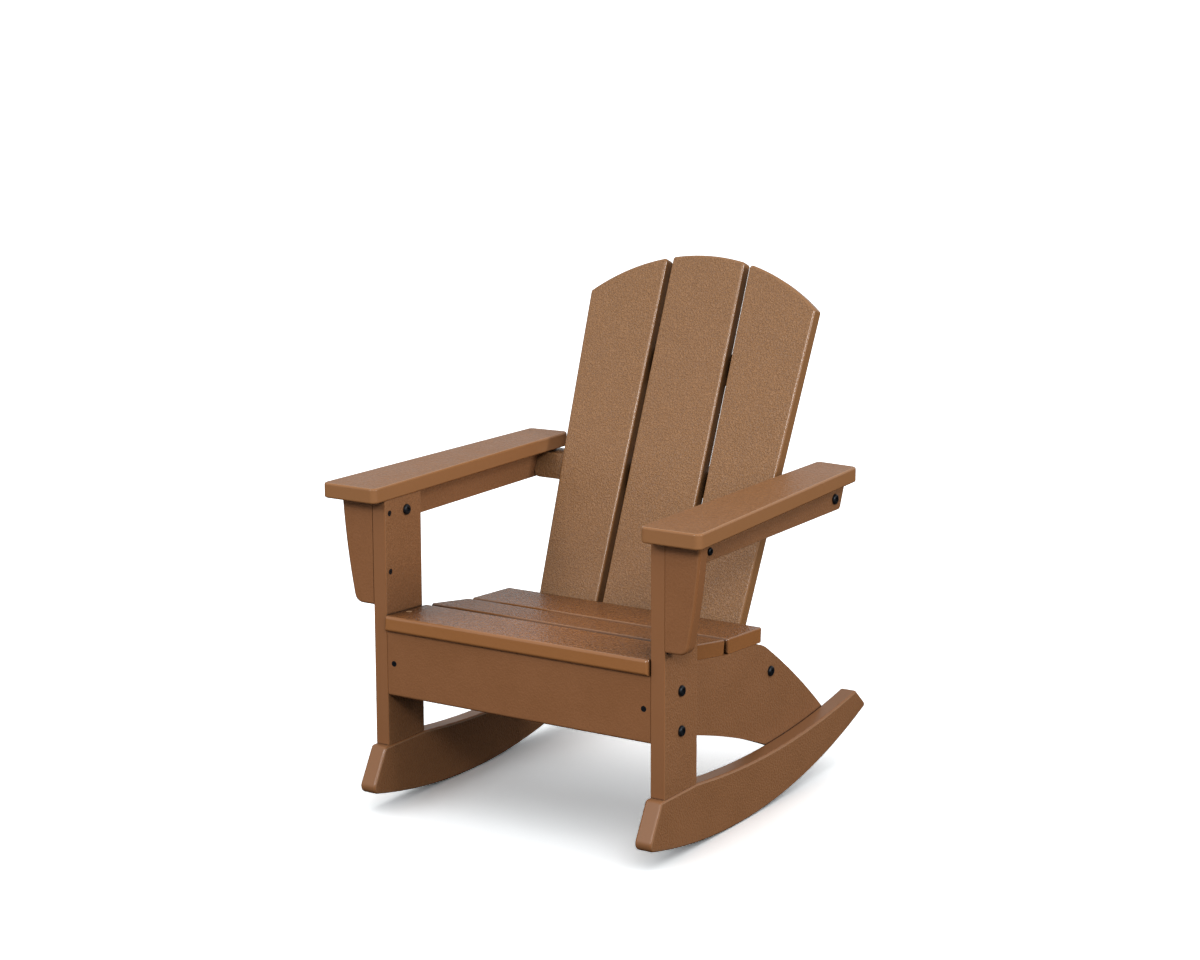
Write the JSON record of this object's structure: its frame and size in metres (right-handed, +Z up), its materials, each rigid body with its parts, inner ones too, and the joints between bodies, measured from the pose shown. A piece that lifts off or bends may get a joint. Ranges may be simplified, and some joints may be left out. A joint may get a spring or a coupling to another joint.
{
  "type": "rocking adirondack chair",
  "caption": "Small rocking Adirondack chair: flat boards with rounded edges, slatted seat and fan back, broad arms on front legs, curved rockers.",
  "frame": {"origin": "on the floor, under the middle of the chair's outer box; the rockers touch the floor 59 mm in front of it", "axes": "+X to the right of someone facing the chair from the front, the seat faces -Y, +Z up; the chair is the same on both sides of the plane X = 0"},
  "size_m": [0.528, 0.5372, 0.6434],
  "materials": {
    "brown_boards": "satin, finely pebbled brown plastic lumber",
    "black_fasteners": "satin black coated steel"
  },
  "bodies": {
    "root": {"rocker_right": "brown_boards", "rocker_left": "brown_boards", "front_leg_right": "brown_boards", "front_leg_left": "brown_boards", "side_panel_right": "brown_boards", "side_panel_left": "brown_boards", "arm_right": "brown_boards", "arm_left": "brown_boards", "arm_rail_right": "brown_boards", "arm_rail_left": "brown_boards", "arm_bracket_right": "brown_boards", "arm_bracket_left": "brown_boards", "front_apron": "brown_boards", "seat_slat_front": "brown_boards", "seat_slat_middle": "brown_boards", "seat_slat_rear": "brown_boards", "back_slat_center": "brown_boards", "back_slat_right": "brown_boards", "back_slat_left": "brown_boards", "upper_back_brace": "brown_boards", "lower_back_brace": "brown_boards", "arm_back_brace": "brown_boards", "leg_bolts": "black_fasteners", "brace_bolts": "black_fasteners", "rail_bolts": "black_fasteners", "bracket_screws": "black_fasteners", "rail_screws": "black_fasteners", "rocker_screws": "black_fasteners", "apron_screws": "black_fasteners", "seat_screws": "black_fasteners", "upper_brace_screws": "black_fasteners", "arm_brace_screws": "black_fasteners", "lower_brace_screws": "black_fasteners"}
  },
  "joints": []
}
